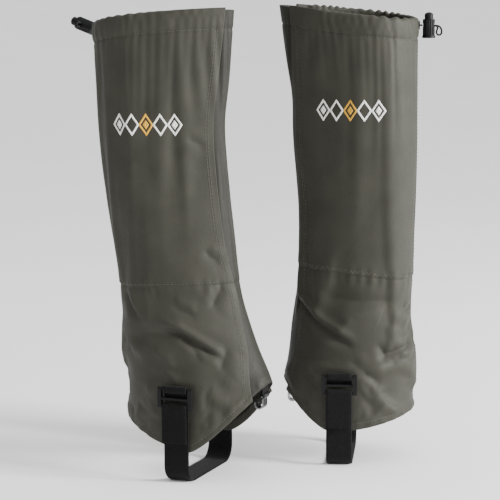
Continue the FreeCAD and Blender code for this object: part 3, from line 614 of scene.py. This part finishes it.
def stitches(name, g, lines):
    """Rows of thread stitches. A line is (angles, heights, depth of the cloth under it)."""
    verts, faces = [], []
    shares, radii = (0.0, 0.18, 0.5, 0.82, 1.0), (0.35, 0.85, 1.0, 0.85, 0.35)
    for t, z, depth in lines:
        p = skin(g, t, z, depth)
        n = unit(skin(g, t, z, depth + 1) - p)
        run = lengths(p) / MM
        for start in np.arange(0.5, run[-1] - STITCH, STITCH + STITCH_GAP):
            ring_at = start + np.array(shares) * STITCH
            c = np.stack([np.interp(ring_at, run, p[:, k]) for k in range(3)], 1)
            m = np.stack([np.interp(ring_at, run, n[:, k]) for k in range(3)], 1)
            side = unit(np.cross(unit(c[-1] - c[0]), m[2]))
            faces += ring_faces(len(verts), len(radii), 6)
            for k, size in enumerate(radii):
                lift = (0.02 + 0.16 * size) * MM
                for a in np.arange(6) * math.pi / 3:
                    verts.append(c[k] + m[k] * (lift + THREAD_R * size * 0.7 * MM * math.sin(a))
                                 + side * THREAD_R * size * MM * math.cos(a))
    return make(name, verts, faces)


def reach(node, way):
    """How far a CAD node reaches along a direction, lowest and highest, in millimetres."""
    co = np.array([v.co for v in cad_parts[node].data.vertices], float) @ np.array(way)
    return co.min() / MM, co.max() / MM


# ---- cloth simulation

def drape(g):
    """Lets a coarse tube of cloth, a little longer than the leg, settle into its own wrinkles."""
    around, tall, strap_half = 104, 92, 30
    t = span(0, 2 * math.pi, around + 1)[:-1]
    tt, share = np.meshgrid(t, span(0, 1, tall + 1), indexing="ij")
    low, high = hem_z(g, tt), rim_z(g, tt)
    z = low + (high - low) * share
    rest = skin(g, tt, z)
    rows = tall + 1
    columns = [(i * rows, (i + 1) % around * rows) for i in range(around)]
    faces = [(a + j, b + j, b + j + 1, a + j + 1) for a, b in columns for j in range(tall)]
    sheet = make("drape", rest.reshape(-1, 3), faces)
    u = skin_uv(g, tt, z)[0]
    hold = 0.05 + 0.9 * step((share - 0.93) / 0.04) + 0.9 * step((0.025 - share) / 0.02)
    hold += 0.5 * step((strap_half - np.abs(u - g["strap_u"])) / 8) * step((104 - z) / 8)
    hold -= 0.03 * np.exp(-((z - 150) / 45) ** 2)
    group = sheet.vertex_groups.new(name="hold")
    for k, w in enumerate(np.clip(hold, 0.01, 1).ravel()):
        group.add([k], float(w), "REPLACE")
    cloth = sheet.modifiers.new("cloth", "CLOTH")
    for key, value in {"quality": 6, "mass": 0.15, "tension_stiffness": 18,
                       "compression_stiffness": 18, "shear_stiffness": 8, "bending_stiffness": 0.6,
                       "air_damping": 2, "vertex_group_mass": "hold", "shrink_min": -0.045}.items():
        setattr(cloth.settings, key, value)
    cloth.collision_settings.use_collision = False
    cloth.point_cache.frame_start, cloth.point_cache.frame_end = 1, DRAPE_FRAMES
    for f in range(1, DRAPE_FRAMES + 1):
        bpy.context.scene.frame_set(f)
    done = sheet.evaluated_get(bpy.context.evaluated_depsgraph_get())
    moved = np.array([v.co for v in done.data.vertices], float).reshape(rest.shape)
    normal = unit(skin(g, tt, z, 1.0) - rest)
    off = ((moved - rest) * normal).sum(-1) / MM
    off -= np.median(off)
    print("drape", g["name"], "from %.1f to %.1f mm" % (off.min(), off.max()))
    bpy.context.scene.frame_set(1)
    bpy.data.objects.remove(sheet)
    return DRAPE_LIMIT * np.tanh(off / DRAPE_LIMIT)


# ---- materials

def material(name, colour, roughness, **others):
    m = bpy.data.materials.new(name)
    m.use_nodes = True
    shader = m.node_tree.nodes["Principled BSDF"]
    for socket, value in {"Base Color": (*colour, 1), "Roughness": roughness, **others}.items():
        shader.inputs[socket].default_value = value
    return m, m.node_tree, shader


def node(tree, kind, sockets=(), **settings):
    """A new node with those settings, and values or links for its sockets."""
    made = tree.nodes.new(kind)
    for key, value in settings.items():
        setattr(made, key, value)
    for key, value in dict(sockets).items():
        if isinstance(value, bpy.types.NodeSocket):
            tree.links.new(value, made.inputs[key])
        else:
            made.inputs[key].default_value = value
    return made


def bumps(tree, shader, layers):
    """Chains bump nodes: (height socket, strength, distance in metres)."""
    last = {}
    for height, strength, distance in layers:
        bump = node(tree, "ShaderNodeBump", {"Height": height, "Strength": strength,
                                             "Distance": distance, **last})
        last = {"Normal": bump.outputs["Normal"]}
    tree.links.new(last["Normal"], shader.inputs["Normal"])


def weave(tree, pitch, turn=0.0):
    """Height of a plain weave with that thread pitch in metres."""
    heights = []
    scale = math.pi / 10 / pitch        # a wave of scale 1 repeats every pi / 10 units
    for direction in ("X", "Y"):
        uv = node(tree, "ShaderNodeUVMap", uv_map="cloth")
        mapping = node(tree, "ShaderNodeMapping", {"Scale": (scale,) * 3, "Rotation": (0, 0, turn),
                                                   "Vector": uv.outputs["UV"]})
        wave = node(tree, "ShaderNodeTexWave",
                    {"Scale": 1.0, "Distortion": 0.6, "Detail": 1.0,
                     "Vector": mapping.outputs["Vector"]},
                    wave_type="BANDS", bands_direction=direction)
        heights.append(wave.outputs["Fac"])
    return node(tree, "ShaderNodeMath", {0: heights[0], 1: heights[1]},
                operation="MULTIPLY").outputs[0]


def solid(tree, kind, output, **sockets):
    """A texture in the object's own coordinates."""
    where = node(tree, "ShaderNodeTexCoord").outputs["Object"]
    return node(tree, kind, {"Vector": where, **sockets}).outputs[output]


def varied(tree, shader, tone, low, high, scale, detail=4.0):
    """Colour that drifts between two shades of the tone."""
    cloud = solid(tree, "ShaderNodeTexNoise", "Fac", Scale=scale, Detail=detail)
    ramp = node(tree, "ShaderNodeValToRGB", {"Fac": cloud})
    for end, place, share in zip(ramp.color_ramp.elements, (0.35, 0.65), (low, high)):
        end.position = place
        end.color = (*(c * share for c in tone), 1)
    tree.links.new(ramp.outputs["Color"], shader.inputs["Base Color"])
    return cloud


def cloth_material(name, tone, sheen):
    m, tree, shader = material(name, tone, 0.62,
                               **{"Sheen Weight": sheen, "Specular IOR Level": 0.22})
    cloud = varied(tree, shader, tone, 0.90, 1.12, 38.0, 6.0)
    fine = solid(tree, "ShaderNodeTexNoise", "Fac", Scale=420.0, Detail=3.0)
    rough = node(tree, "ShaderNodeMapRange", {"To Min": 0.52, "To Max": 0.74, "Value": fine})
    tree.links.new(rough.outputs["Result"], shader.inputs["Roughness"])
    bumps(tree, shader, [(weave(tree, 0.0009), 0.5, 0.00010), (fine, 0.5, 0.00022),
                         (cloud, 0.35, 0.0009)])
    return m


def webbing_material(name, tone):
    m, tree, shader = material(name, tone, 0.8,
                               **{"Sheen Weight": 0.03, "Specular IOR Level": 0.12})
    varied(tree, shader, tone, 1.0, 1.7, 300.0)
    bumps(tree, shader, [(weave(tree, 0.0021, math.pi / 4), 0.9, 0.0003)])
    return m


def plastic_material(name, tone, roughness):
    m, tree, shader = material(name, tone, roughness, **{"Specular IOR Level": 0.16})
    grain = varied(tree, shader, tone, 1.0, 1.5, 900.0)
    bumps(tree, shader, [(grain, 0.25, 0.00008)])
    return m


def metal_material(name, tone, roughness):
    m, tree, shader = material(name, tone, roughness, Metallic=1.0)
    grain = varied(tree, shader, tone, 1.0, 0.8, 700.0)
    bumps(tree, shader, [(grain, 0.2, 0.00004)])
    return m


def pile_material(name, tone, scale, depth):
    m, tree, shader = material(name, tone, 0.95,
                               **{"Sheen Weight": 0.3, "Specular IOR Level": 0.1})
    cells = solid(tree, "ShaderNodeTexVoronoi", "Distance", Scale=scale)
    varied(tree, shader, tone, 1.0, 1.6, 500.0)
    bumps(tree, shader, [(cells, 1.0, depth)])
    return m


OLIVE = (0.030, 0.0293, 0.0218)
MATERIALS = {
    "cloth": cloth_material("coated_cloth", OLIVE, 0.015),
    "lining": cloth_material("inner_cloth", tuple(c * 0.55 for c in OLIVE), 0.03),
    "thread": plastic_material("thread", (0.055, 0.054, 0.044), 0.7),
    "webbing": webbing_material("webbing", (0.003, 0.003, 0.003)),
    "cord": webbing_material("cord", (0.008, 0.008, 0.008)),
    "plastic": plastic_material("black_plastic", (0.004, 0.004, 0.0045), 0.45),
    "steel": metal_material("hook_steel", (0.30, 0.30, 0.31), 0.34),
    "eyelet": metal_material("eyelet_metal", (0.05, 0.05, 0.05), 0.40),
    "hooks": pile_material("hook_tape", (0.012, 0.012, 0.012), 1500.0, 0.0006),
    "loops": pile_material("loop_tape", (0.016, 0.016, 0.015), 700.0, 0.0009),
    "elastic": webbing_material("elastic", (0.02, 0.02, 0.02)),
    "white": plastic_material("print_white", (0.62, 0.62, 0.60), 0.6),
    "ochre": plastic_material("print_ochre", (0.50, 0.27, 0.03), 0.6),
}


def dress(obj, name):
    obj.data.materials.clear()
    obj.data.materials.append(MATERIALS[name])
    return obj


def fit(obj, name, slot, body, *nodes):
    """Dresses a piece that rides the body and stands for those CAD nodes."""
    dress(obj, name)
    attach(obj, body)
    if nodes:
        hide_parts(*nodes)


# ---- camera

camera = bpy.data.objects.new("camera", bpy.data.cameras.new("camera"))
bpy.context.scene.collection.objects.link(camera)
camera.data.lens = 127.3
camera.data.sensor_width = 36.0
camera.data.clip_end = 100
camera.location = (-0.0185, -1.6855, 0.430)
aim = Vector((-0.0185, 0.0, 0.2081)) - camera.location
camera.rotation_euler = aim.to_track_quat("-Z", "Y").to_euler()
bpy.context.scene.camera = camera


# ---- cords

def lock_frame(g):
    u_way, v_way = ways(g)
    basis = (-u_way, v_way, np.array([0, 0, 1.0]))
    vector = lambda parts: sum(a * axis for a, axis in zip(parts, basis))
    hole, plunge = vector(g["lock_hole"]), vector(g["lock_plunge"])
    plunge = unit(plunge)
    eyelet = skin(g, math.pi, eyelet_z(g)) / MM
    return eyelet, eyelet + vector(g["lock_at"]), hole, plunge, np.cross(hole, plunge)


def casing_ends(g):
    start = turn_at(g, smooth(g["flap_hinge"], 425), 425) + 5 * DEG
    return float(start), float(inner_edge(g, 425, 26))


def cord_route(g, side):
    """The route of one strand of the drawcord, through the tunnel and the eyelet to the lock."""
    ends = casing_ends(g)
    end = ends[0] if side > 0 else 2 * math.pi - ends[1]
    turns = span(end, 172 * DEG, 15)
    turns = turns if side > 0 else 2 * math.pi - turns
    route = [p / MM for p in skin(g, turns, rim_z(g, turns) - g["exit_drop"], CORD_DEPTH)]
    u_way, v_way = ways(g)
    out, up = -u_way, np.array([0, 0, 1.0])
    eyelet, centre, hole, plunge, third = lock_frame(g)
    offset = side * PITCH / 2
    route.append(eyelet + out * CORD_DEPTH + v_way * offset)
    for (a, b, c), (da, db, dc) in g["lead"]:
        route.append(eyelet + out * (a + da * offset) + v_way * (b + db * offset)
                     + up * (c + dc * offset))
    route.append(centre - hole * (BARREL_R + STRAND_GAP) + third * offset)
    return [p * MM for p in route]


def tail_route(g):
    _, centre, hole, plunge, third = lock_frame(g)
    put = lambda h, s, w: (centre + hole * h + third * s + plunge * w) * MM
    return ([put(-BARREL_R, PITCH / 2, 0)] + [put(*p) for p in g["tail"]]
            + [put(-BARREL_R, -PITCH / 2, 0)])


def cords(g):
    n = g["name"]
    eyelet = lock_frame(g)[0]
    outer_length, inner_length, loop_length = g["cord_lengths"]
    for side, label, length in (1, "outer", outer_length), (-1, "inner", inner_length):
        points = nurbs_points(cord_route(g, side))
        piece = dress(tube("%s_drawcord_%s" % (n, label), points, CORD / 2 * MM), "cord")
        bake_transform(piece)
        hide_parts("%s_drawcord_%s_run" % (n, label))
    points = nurbs_points(tail_route(g))
    piece = tube(n + "_drawcord_loop", points, CORD / 2 * MM)
    fit(piece, "cord", "cord", n + "_lock", n + "_drawcord_tail")


# ---- cloth

def bend(obj):
    """Bakes the piece's placement into its mesh."""
    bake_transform(obj)


def cloth(g):
    n = g["name"]
    free = lambda z: free_edge(g, z)
    round_to = lambda turn: lambda z: np.full(np.shape(z), turn)
    hem, ankle, rim = (lambda t: hem_z(g, t)), (lambda t: ankle_z(g, t)), (lambda t: rim_z(g, t))
    outer, outer_size = panel(g, "_outer_cloth", free, round_to(math.pi), 150, 100, 190, True)
    dress(outer, "cloth")
    bend(outer)
    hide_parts(n + "_outer_upper_panel", n + "_outer_lower_panel", n + "_front_flap")
    inner, inner_size = panel(g, "_inner_cloth", round_to(math.pi), lambda z: inner_edge(g, z),
                              116, 80, 150, False)
    fit(inner, "cloth", "coated_cloth", n + "_gaiter", n + "_inner_upper_panel",
        n + "_inner_lower_panel", n + "_hem_binding", n + "_drawcord_casing")
    under, under_size = layer(g, "_underlap_cloth", lambda z: -np.arccos(1 - 22 / section(g, z)[0]),
                              lambda z: turn_from(g, free(z), z, 15.0), lambda t: hem(t) + 1.5,
                              lambda t: rim(t) - 1.5, 60, 190, -2.6, CLOTH)
    fit(under, "lining", "coated_cloth", n + "_gaiter", n + "_front_underlap")
    tape = [lambda z: turn_from(g, free(z), z, 1.5), lambda z: turn_from(g, free(z), z, 14.0),
            lambda t: hem(t) + 6, lambda t: rim(t) - 6]
    loops, _ = layer(g, "_loop_tape", *tape, 22, 330, 0.15, 0.5, 0.06)
    fit(loops, "loops", "hook_and_loop", n + "_flap", n + "_flap_loop_tape")
    hooks, _ = layer(g, "_hook_tape", *tape, 22, 330, -0.9, 0.6, 0.05)
    fit(hooks, "hooks", "hook_and_loop", n + "_gaiter", n + "_underlap_hook_tape")
    band, band_size = layer(g, "_ankle_band", round_to(92 * DEG), round_to(268 * DEG),
                            lambda t: ankle(t) - 10, lambda t: ankle(t) + 10, 150, 20, -2.5, 1.2)
    fit(band, "elastic", "elastic", n + "_gaiter", n + "_ankle_elastic")
    threads = seams(g)


def seams(g):
    """The stitches of every seam and hem, on the outer side and on the inner side."""
    n = g["name"]

    def line(t, z, outer):
        t, z = np.broadcast_arrays(np.asarray(t, float), np.asarray(z, float))
        return t, z + scallop(g, t, z), (outer_relief if outer else relief)(g, t, z)

    outer_lines, inner_lines = [], []
    z = span(float(hem_z(g, free_edge(g, 60))) + 8, 424, SEAM_POINTS)
    for distance in (5.5, 7.5):
        outer_lines.append(line(turn_from(g, free_edge(g, z), z, distance), z, True))

    def both(start, end, count, height):
        """A line round the outer side from start and another round the inner side to end."""
        for t0, t1, lines, outer in ((start, math.pi, outer_lines, True),
                                     (math.pi, end, inner_lines, False)):
            t = span(t0, t1, count)
            lines.append(line(t, height(t), outer))

    ankle_ends = float(free_edge(g, 182)) + 2 * DEG, float(inner_edge(g, 182)) - 2 * DEG
    if g["facing"] > 0:
        both(*ankle_ends, SEAM_POINTS, lambda t: ankle_z(g, t) + 2.2)
    else:
        both(*ankle_ends, 110, lambda t: ankle_z(g, t) + 3 + 2.1 * (-1.0) ** np.arange(110))
    both(float(turn_from(g, free_edge(g, 415), 415, 9.0)), casing_ends(g)[1], SEAM_POINTS,
         lambda t: rim_z(g, t) - CASING_HEIGHT)
    both(float(free_edge(g, 80)) + 3 * DEG, float(inner_edge(g, 80, 20)), SEAM_POINTS,
         lambda t: hem_z(g, t) + 6.0)
    back = np.full(SEAM_POINTS, math.pi)
    z = span(float(hem_z(g, math.pi)) + 9, float(rim_z(g, math.pi)) - 22, SEAM_POINTS)
    outer_lines.append(line(turn_from(g, back, z, -2.6), z, True))
    inner_lines.append(line(turn_from(g, back, z, 2.6), z, False))
    outside = dress(stitches(n + "_outer_stitches", g, outer_lines), "thread")
    bend(outside)
    inside = stitches(n + "_inner_stitches", g, inner_lines)
    fit(inside, "thread", "coated_cloth", n + "_gaiter")
    return outside, inside


def emblem(g):
    """A row of outlined diamonds that lies on the cloth; the middle one is a second colour."""
    n = g["name"]
    middle = float(turn_at(g, g["emblem_u"], 335))
    level = float(rim_z(g, middle)) - g["emblem_drop"]
    half_w, half_h, line_w, pitch, steps = 7.2, 10.5, 1.7, 13.4, 9
    pieces = {"white": ([], []), "ochre": ([], [])}
    outer = [(half_w, 0), (0, half_h), (-half_w, 0), (0, -half_h)]
    share = 1 - line_w * math.hypot(half_w, half_h) / (half_w * half_h)
    for k in (-2, -1, 0, 1, 2):
        verts, faces = pieces["ochre" if k == 0 else "white"]
        for scales in ((1.0, share), (0.42, 0.02))[:2 - k % 2]:
            for a in range(4):
                p0, p1 = outer[a], outer[(a + 1) % 4]
                base = len(verts)
                for i in range(steps + 1):
                    for scale in scales:
                        verts.append(((p0[0] + (p1[0] - p0[0]) * i / steps) * scale + k * pitch,
                                      (p0[1] + (p1[1] - p0[1]) * i / steps) * scale))
                faces += [(b, b + 2, b + 3, b + 1) for b in range(base, base + 2 * steps, 2)]
    for tone, (verts, faces) in pieces.items():
        flat = np.array(verts)
        z = level + flat[:, 1]
        t = turn_from(g, np.full(len(flat), middle), z, -flat[:, 0])
        depth = outer_relief(g, t, z)
        top, low = skin(g, t, z, depth + 0.22), skin(g, t, z, depth - 0.05)
        count = len(flat)
        edges = {(f[a], f[(a + 1) % 4]): None for f in faces for a in range(4)}
        closed = faces + [tuple(v + count for v in reversed(f)) for f in faces]
        closed += [(b, a, a + count, b + count) for a, b in edges if (b, a) not in edges]
        made = make("%s_print_%s" % (n, tone), np.concatenate([top, low]), closed)
        dress(made, tone)
        bend(made)
        if tone == "white":
            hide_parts(n + "_emblem")


# ---- strap, buckle, lock and hook

def straps(g):
    n = g["name"]
    v_way = ways(g)[1]
    origin = np.array([*g["centre"], 0.0]) @ v_way
    across = lambda part: [x - origin for x in reach(n + part, v_way)]
    upright = lambda part: reach(n + part, (0, 0, 1))
    face, outer_face = across("_strap_outer_run")
    inner_face, inner = across("_strap_inner_end")
    top = upright("_strap_inner_end")[1]
    mid = g["strap_u"]
    out_v, in_v = (face + outer_face) / 2, (inner + inner_face) / 2
    r = STRAP_CORNER - WEBBING / 2
    split = 52.0
    path = run_of((out_v, split), (out_v, STRAP_CORNER))
    path += bow((out_v - r, STRAP_CORNER), r, 0, -90, 12)[:-1]
    path += run_of((out_v - r, WEBBING / 2), (in_v + r, WEBBING / 2))
    path += bow((in_v + r, STRAP_CORNER), r, -90, -180, 12)[:-1]
    path += run_of((in_v, STRAP_CORNER), (in_v, top), whole=True)
    web = strip(n + "_instep_webbing", g, path, WEBBING_WIDTH, mid)
    dress(web, "webbing")
    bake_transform(web)
    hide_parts(n + "_strap_outer_run", n + "_strap_inner_end", n + "_instep_strap")
    tail_v, tail_z = across("_strap_tail"), upright("_strap_tail")
    turn = (tail_v[1] - tail_v[0]) / 2 - WEBBING / 2
    centre = ((tail_v[0] + tail_v[1]) / 2, tail_z[1] - turn - WEBBING / 2)
    leg = strip(n + "_strap_leg", g, run_of((out_v, split), (out_v, centre[1]), whole=True),
                WEBBING_WIDTH, mid)
    dress(leg, "webbing")
    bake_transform(leg)
    path = bow(centre, turn, 180, 0, 16)[:-1]
    path += run_of((centre[0] + turn, centre[1]), (centre[0] + turn, tail_z[0]), whole=True)
    tail = strip(n + "_strap_free_end", g, path, WEBBING_WIDTH, mid)
    fit(tail, "webbing", "webbing", n + "_buckle", n + "_strap_tail")
    # the tab round the buckle's top bar
    tab_v, tab_z = across("_buckle_tab"), upright("_buckle_tab")
    r = (tab_v[1] - tab_v[0]) / 2 - WEBBING / 2
    middle = ((tab_v[0] + tab_v[1]) / 2, tab_z[1] - r - WEBBING / 2)
    path = run_of((middle[0] - r, tab_z[0]), (middle[0] - r, middle[1]))
    path += bow(middle, r, 180, -140, 30)
    tab = strip(n + "_tab_webbing", g, path, WEBBING_WIDTH - 1, mid)
    fit(tab, "webbing", "webbing", n + "_gaiter", n + "_buckle_tab")


def ribs(g):
    """Grip ribs round the cord lock's barrel, clear of its cord holes."""
    n = g["name"]
    _, centre, hole, plunge, third = lock_frame(g)
    low, high = BARREL_TOP - BARREL_LENGTH + 2.6, BARREL_TOP - 0.8
    verts, faces = [], []
    count = 18
    for k in range(count):
        a = (k + 0.5) * 2 * math.pi / count
        if abs(math.cos(a)) > math.cos(34 * DEG):
            continue
        out = hole * math.cos(a) + third * math.sin(a)
        side = np.cross(plunge, out)
        faces += ring_faces(len(verts), 4, 5)
        heights = (low, low + 0.5, high - 0.5, high)
        for h, tall in zip(heights, (0.05, 0.5, 0.5, 0.05)):
            for x, lift in ((-0.55, -0.25), (-0.34, tall * 0.8), (0, tall), (0.34, tall * 0.8),
                            (0.55, -0.25)):
                verts.append((centre + out * (BARREL_R + lift) + side * x + plunge * h) * MM)
    fit(make(n + "_lock_ribs", verts, faces), "plastic", "black_plastic", n + "_lock")


def fittings(g):
    n = g["name"]
    for part, name, slot in (("lock_barrel", "plastic", "black_plastic"),
                             ("lock_plunger", "plastic", "black_plastic"),
                             ("strap_buckle", "plastic", "black_plastic"),
                             ("drawcord_eyelet", "eyelet", "eyelet_metal"),
                             ("lace_hook", "steel", "hook_steel"),
                             ("hook_pin", "steel", "hook_steel")):
        dress(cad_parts["%s_%s" % (n, part)], name)


def hook_tab(g):
    """The lace hook's tab: the CAD's shape as webbing, with its edges softened."""
    n = g["name"]
    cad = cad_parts[n + "_hook_tab"]
    bm = bmesh.new()
    bm.from_mesh(cad.data)
    bm.transform(cad.matrix_world)
    bmesh.ops.remove_doubles(bm, verts=bm.verts, dist=1e-6)
    bmesh.ops.dissolve_limit(bm, angle_limit=DEG, verts=bm.verts, edges=bm.edges)
    sharp = [e for e in bm.edges if e.is_manifold and e.calc_face_angle() > 40 * DEG]
    bmesh.ops.bevel(bm, geom=sharp, offset=0.2 * MM, segments=2, profile=0.5, affect="EDGES",
                    clamp_overlap=True)
    bmesh.ops.triangulate(bm, faces=bm.faces)
    bm.verts.index_update()
    verts = [tuple(v.co) for v in bm.verts]
    # bmesh cuts the same triangles in another order each run, so they are sorted
    corners = [[v.index for v in f.verts] for f in bm.faces]
    faces = sorted(c[c.index(min(c)):] + c[:c.index(min(c))] for c in corners)
    bm.free()
    u_way = ways(g)[0]
    tab = make(n + "_hook_webbing", verts, faces, [(np.dot(v, u_way), v[2]) for v in verts])
    fit(tab, "webbing", "webbing", n + "_gaiter", n + "_hook_tab")


def spring(g):
    """The lock's spring: a copy of the CAD's coil that rides the lock."""
    n = g["name"]
    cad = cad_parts[n + "_lock_spring"]
    place = cad.matrix_world
    coil = make(n + "_spring_coil", [place @ v.co for v in cad.data.vertices],
                [tuple(f.vertices) for f in cad.data.polygons])
    fit(coil, "steel", "spring_steel", n + "_lock", n + "_lock_spring")
    plunge = lock_frame(g)[3]
    along = np.array([v.co for v in coil.data.vertices], float) @ plunge
    foot = np.array(coil.data.vertices[int(along.argmin())].co, float)
    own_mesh(coil)


# ---- build

for g in (RIGHT, LEFT):
    g["arc"] = arc_table(g)
    start, end = casing_ends(g)
    g["tunnel"] = (lambda a, b: lambda t: step((t - a + 4 * DEG) / (8 * DEG))
                   * step((b + 2 * DEG - t) / (8 * DEG)))(start, end)
    g["drape"] = drape(g)
    cords(g)
    cloth(g)
    emblem(g)
    straps(g)
    ribs(g)
    hook_tab(g)
    spring(g)
    fittings(g)


# ---- floor and light

# a wide floor that rises gently all round, so that it has no horizon
rings, sides = [0.001, *span(0.5, 12, 24)], 48
turns = np.arange(sides) * 2 * math.pi / sides
verts = [(r * math.cos(a), r * math.sin(a), 0.018 * max(0.0, r - 2.5) ** 2)
         for r in rings for a in turns]
floor = make("floor", verts, ring_faces(0, len(rings), sides, flip=True)[:-2])
m, tree, shader = material("floor", (0.9, 0.9, 0.9), 0.9, **{"Specular IOR Level": 0.1})
varied(tree, shader, (0.90, 0.90, 0.90), 1.0, 0.92 / 0.90, 3.0)
floor.data.materials.append(m)

world = bpy.data.worlds.new("studio")
bpy.context.scene.world = world
world.use_nodes = True
tree = world.node_tree
sky = tree.nodes["Background"]
sky.inputs["Color"].default_value = (1, 1, 1, 1)
direction = node(tree, "ShaderNodeTexCoord").outputs["Generated"]
height = node(tree, "ShaderNodeVectorMath", {0: direction, 1: (0.18, 0.0, 0.98)},
              operation="DOT_PRODUCT")
strength = node(tree, "ShaderNodeMapRange", {"From Min": 0.0, "From Max": 1.0, "To Min": 0.12,
                                             "To Max": 1.9, "Value": height.outputs["Value"]})
tree.links.new(strength.outputs["Result"], sky.inputs["Strength"])

key = bpy.data.lights.new("key", "AREA")
key.shape = "SQUARE"
key.size = 0.8
key.energy = 245
lamp = bpy.data.objects.new("key", key)
lamp.location = (2.7, -1.0, 1.15)
lamp.rotation_euler = (Vector((0, 0, 0.22)) - lamp.location).to_track_quat("-Z", "Y").to_euler()
bpy.context.scene.collection.objects.link(lamp)
